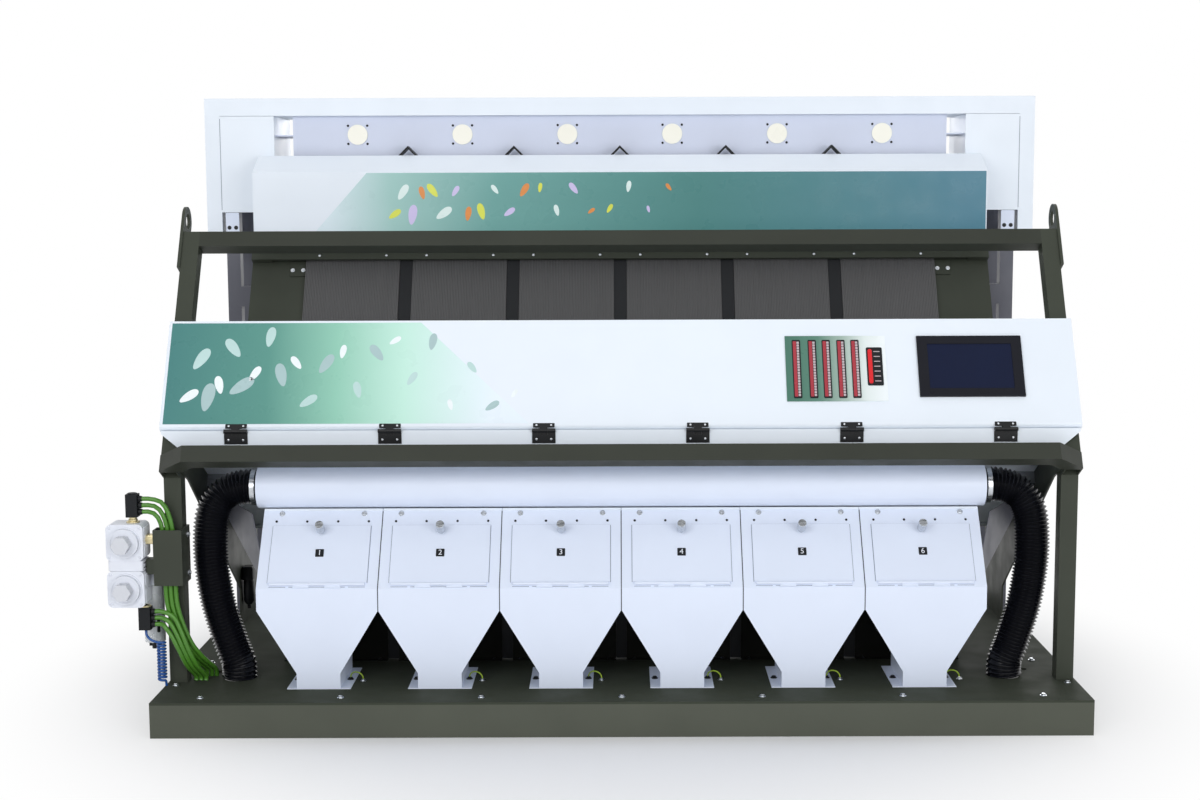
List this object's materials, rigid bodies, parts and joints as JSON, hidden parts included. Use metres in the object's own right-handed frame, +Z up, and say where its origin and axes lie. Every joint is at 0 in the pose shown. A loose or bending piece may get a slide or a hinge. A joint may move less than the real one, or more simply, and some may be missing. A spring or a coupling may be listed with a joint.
{
  "type": "optical colour sorter",
  "caption": "Chute-type optical sorter with leaning control cover, ribbed chutes, hopper outlets with hinged doors, dust duct, hoses and an air unit.",
  "frame": {"origin": "centre of the base's underside, on the floor", "axes": "+X to the machine's right seen from the operator, +Y to the rear, +Z up"},
  "size_m": [2.578, 1.25, 1.663],
  "materials": {
    "olive_paint": "satin",
    "white_paint": "satin",
    "pale_paint": "satin",
    "dark_anodised": "matt",
    "black_plastic": "matt",
    "clear_glass": "clear",
    "camera_shell": "matt",
    "lamp_tube": "gloss",
    "bright_steel": "satin",
    "wiper_rubber": "matt",
    "plain_aluminium": "satin",
    "valve_plastic": "matt",
    "grey_plastic": "satin",
    "dark_screen": "gloss",
    "panel_film": "satin",
    "black_metal": "satin",
    "white_plastic": "gloss",
    "hose_rubber": "satin",
    "grey_paint": "satin",
    "blue_paint": "satin",
    "brushed_tray": "brushed",
    "cream_plastic": "gloss",
    "knob_plastic": "satin",
    "bowl_plastic": "clear",
    "green_tube": "gloss",
    "blue_tube": "gloss"
  },
  "bodies": {
    "frame": {"base_frame": "olive_paint", "base_top": "olive_paint", "front_posts": "olive_paint", "front_beam": "olive_paint", "rails": "olive_paint", "crossbar": "olive_paint", "lifting_lugs": "olive_paint", "side_plates": "olive_paint", "chute_bed": "olive_paint", "clamp_rail": "olive_paint", "frl_bracket": "olive_paint", "reject_hoppers": "olive_paint", "front_box": "white_paint", "rear_box": "white_paint", "rear_cover": "white_paint", "outlet_hoppers": "white_paint", "side_flares": "white_paint", "top_cover": "white_paint", "hood_frame": "white_paint", "feed_hopper": "white_paint", "end_boxes": "white_paint", "hood_legs": "pale_paint", "chutes": "dark_anodised", "gap_strips": "black_plastic", "windows": "clear_glass", "cameras": "camera_shell", "lamp_bars": "lamp_tube", "wiper_rails": "bright_steel", "air_manifold": "plain_aluminium", "ejector_valves": "valve_plastic", "hinge_leaves": "black_metal", "dust_duct": "white_plastic", "duct_hose_left": "hose_rubber", "duct_hose_right": "hose_rubber", "hose_clamps": "bright_steel", "feeder_beam": "grey_paint", "vibrators": "blue_paint", "lane_dividers": "black_metal", "sight_windows": "cream_plastic", "regulators": "white_plastic", "filter_bowl": "bowl_plastic", "air_fittings": "black_plastic", "air_tubes": "green_tube", "recoil_hose": "blue_tube"},
    "cover": {"front_cover": "white_paint", "screen_bezel": "grey_plastic", "screen_glass": "dark_screen", "level_panel": "panel_film", "hinge_knuckles": "black_metal"},
    "door_1": {"door_1": "white_paint"},
    "door_2": {"door_2": "white_paint"},
    "door_3": {"door_3": "white_paint"},
    "door_4": {"door_4": "white_paint"},
    "door_5": {"door_5": "white_paint"},
    "door_6": {"door_6": "white_paint"},
    "wipers": {"wipers": "wiper_rubber"},
    "feeder_trays": {"feeder_trays": "brushed_tray"},
    "knob_upper": {"knob_upper": "knob_plastic"},
    "knob_lower": {"knob_lower": "knob_plastic"},
    "drain_cock": {"drain_cock": "black_plastic"}
  },
  "joints": [
    {"name": "cover_hinge", "type": "hinge", "parent": "frame", "child": "cover", "pos_m": [0, -0.44781, 0.76373], "axis": [1, 0, 0], "range_deg": [0, 95]},
    {"name": "door_1_hinge", "type": "hinge", "parent": "frame", "child": "door_1", "pos_m": [-0.79, -0.49614, 0.37015], "axis": [1, 0, 0], "range_deg": [0, 110]},
    {"name": "door_2_hinge", "type": "hinge", "parent": "frame", "child": "door_2", "pos_m": [-0.474, -0.49614, 0.37015], "axis": [1, 0, 0], "range_deg": [0, 110]},
    {"name": "door_3_hinge", "type": "hinge", "parent": "frame", "child": "door_3", "pos_m": [-0.158, -0.49614, 0.37015], "axis": [1, 0, 0], "range_deg": [0, 110]},
    {"name": "door_4_hinge", "type": "hinge", "parent": "frame", "child": "door_4", "pos_m": [0.158, -0.49614, 0.37015], "axis": [1, 0, 0], "range_deg": [0, 110]},
    {"name": "door_5_hinge", "type": "hinge", "parent": "frame", "child": "door_5", "pos_m": [0.474, -0.49614, 0.37015], "axis": [1, 0, 0], "range_deg": [0, 110]},
    {"name": "door_6_hinge", "type": "hinge", "parent": "frame", "child": "door_6", "pos_m": [0.79, -0.49614, 0.37015], "axis": [1, 0, 0], "range_deg": [0, 110]},
    {"name": "wiper_slide", "type": "slide", "parent": "frame", "child": "wipers", "axis": [1, 0, 0], "range_m": [0, 2]},
    {"name": "tray_vibration", "type": "slide", "parent": "frame", "child": "feeder_trays", "axis": [0, 1, 0], "range_m": [-0.0015, 0.0015], "stiffness_N_per_m": 20000},
    {"name": "knob_upper_turn", "type": "hinge", "parent": "frame", "child": "knob_upper", "pos_m": [-1.285, -0.507, 0.48], "axis": [0, 1, 0], "continuous": true},
    {"name": "knob_lower_turn", "type": "hinge", "parent": "frame", "child": "knob_lower", "pos_m": [-1.285, -0.507, 0.357], "axis": [0, 1, 0], "continuous": true},
    {"name": "drain_turn", "type": "hinge", "parent": "frame", "child": "drain_cock", "pos_m": [-1.24, -0.394, 0.197], "axis": [0, 0, 1], "range_deg": [0, 90]}
  ]
}
